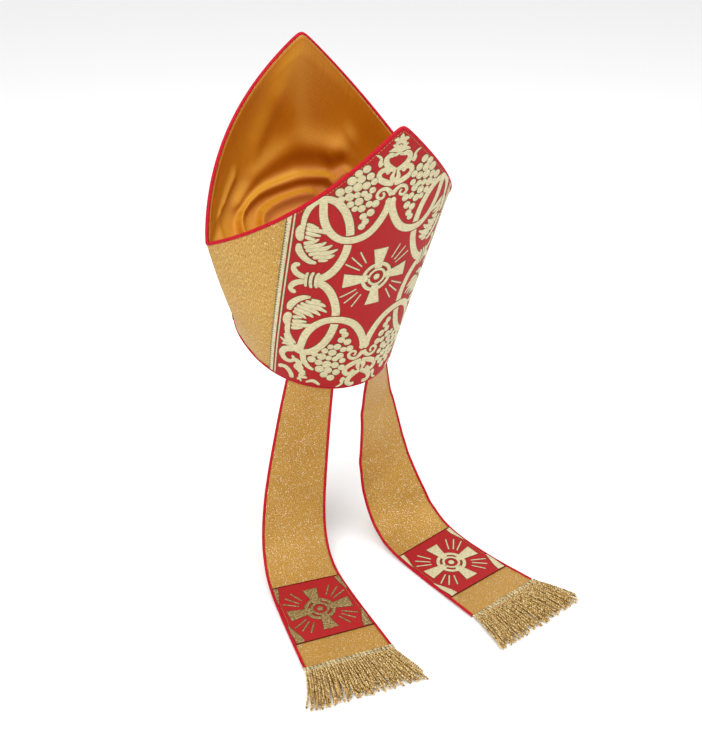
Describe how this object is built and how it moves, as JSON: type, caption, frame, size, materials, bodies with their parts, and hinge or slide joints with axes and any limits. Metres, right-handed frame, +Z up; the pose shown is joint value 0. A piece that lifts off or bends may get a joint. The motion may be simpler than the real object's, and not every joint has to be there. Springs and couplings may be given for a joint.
{
  "type": "bishop mitre",
  "caption": "Bishop's mitre in its worn form: flared gold horns with red figured panels, a satin valley between them, corded edges and fringed lappets.",
  "frame": {"origin": "centre of the head opening, in the plane of the rim", "axes": "+Z up as worn, +Y toward the wearer's back, +X toward the wearer's left; the mitre leans 14.3 degrees toward +Y"},
  "size_m": [0.346, 0.4266, 0.5851],
  "materials": {
    "gold_lame": "gold lame cloth with a fine slub and a metallic glitter",
    "red_brocade": "red satin-ground brocade with a raised cream-gold woven figure",
    "satin_lining": "golden satin, glossy, softly folded",
    "red_piping": "cloth-covered cord, satin, crimson",
    "gold_braid": "woven metallic braid, gold and silver",
    "gold_fringe": "twisted metallic bullion cords"
  },
  "bodies": {
    "root": {"front_horn": "gold_lame", "back_horn": "gold_lame", "front_orphrey": "red_brocade", "back_orphrey": "red_brocade", "crown_lining": "satin_lining", "front_piping": "red_piping", "back_piping": "red_piping", "rim_piping": "red_piping", "lappet_left": "gold_lame", "lappet_left_panel": "red_brocade", "lappet_left_piping_out": "red_piping", "lappet_left_piping_in": "red_piping", "lappet_left_braid": "gold_braid", "lappet_left_fringe": "gold_fringe", "lappet_right": "gold_lame", "lappet_right_panel": "red_brocade", "lappet_right_piping_out": "red_piping", "lappet_right_piping_in": "red_piping", "lappet_right_braid": "gold_braid", "lappet_right_fringe": "gold_fringe"}
  },
  "joints": []
}
